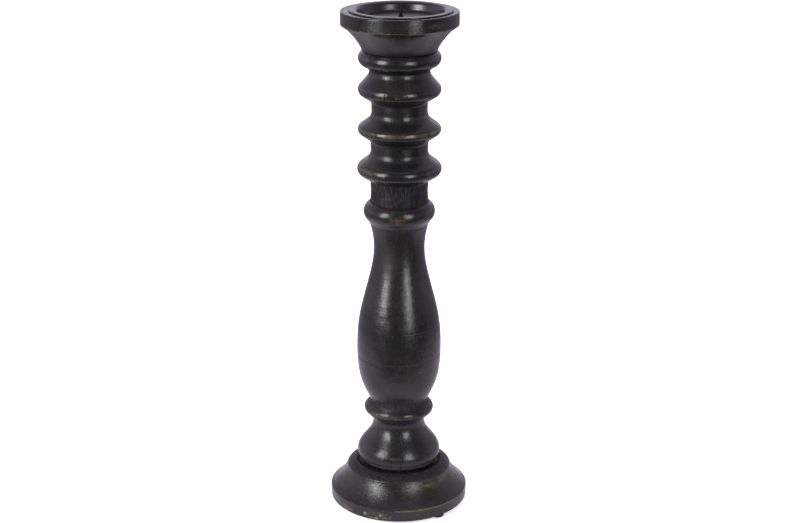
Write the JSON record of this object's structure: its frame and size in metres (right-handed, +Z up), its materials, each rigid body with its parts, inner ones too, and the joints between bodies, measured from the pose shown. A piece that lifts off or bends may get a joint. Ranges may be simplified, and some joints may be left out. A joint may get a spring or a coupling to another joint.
{
  "type": "pillar candlestick",
  "caption": "Turned black-stained wooden candlestick with a ridged stem, vase and round base, and a lift-out steel drip pan with a spike for a pillar candle.",
  "frame": {"origin": "on the turning axis at table level, under the foot pads", "axes": "+Z up along the turning axis; -Y is the front; the loose drip pan lies 1 mm off the axis towards +X"},
  "size_m": [0.1376, 0.1376, 0.5036],
  "materials": {
    "stained_wood": "black stained and waxed turned wood, satin, rubbed through on the ridges",
    "raw_dowel": "unfinished hardwood dowel",
    "black_steel": "gloss black enamelled sheet steel",
    "zinc_steel": "zinc plated",
    "brown_felt": "dark brown felt"
  },
  "bodies": {
    "stand": {"cup_head": "stained_wood", "upper_stem": "stained_wood", "lower_stem": "stained_wood", "base": "stained_wood", "head_dowel": "raw_dowel", "stem_dowel": "raw_dowel", "base_screw": "zinc_steel", "base_washer": "zinc_steel", "foot_pad_1": "brown_felt", "foot_pad_2": "brown_felt", "foot_pad_3": "brown_felt"},
    "pan": {"drip_pan": "black_steel", "candle_spike": "black_steel", "spike_washer": "black_steel"}
  },
  "joints": [
    {"name": "drip_pan_lift", "type": "slide", "parent": "stand", "child": "pan", "axis": [0, 0, 1], "range_m": [0, 0.03]}
  ]
}
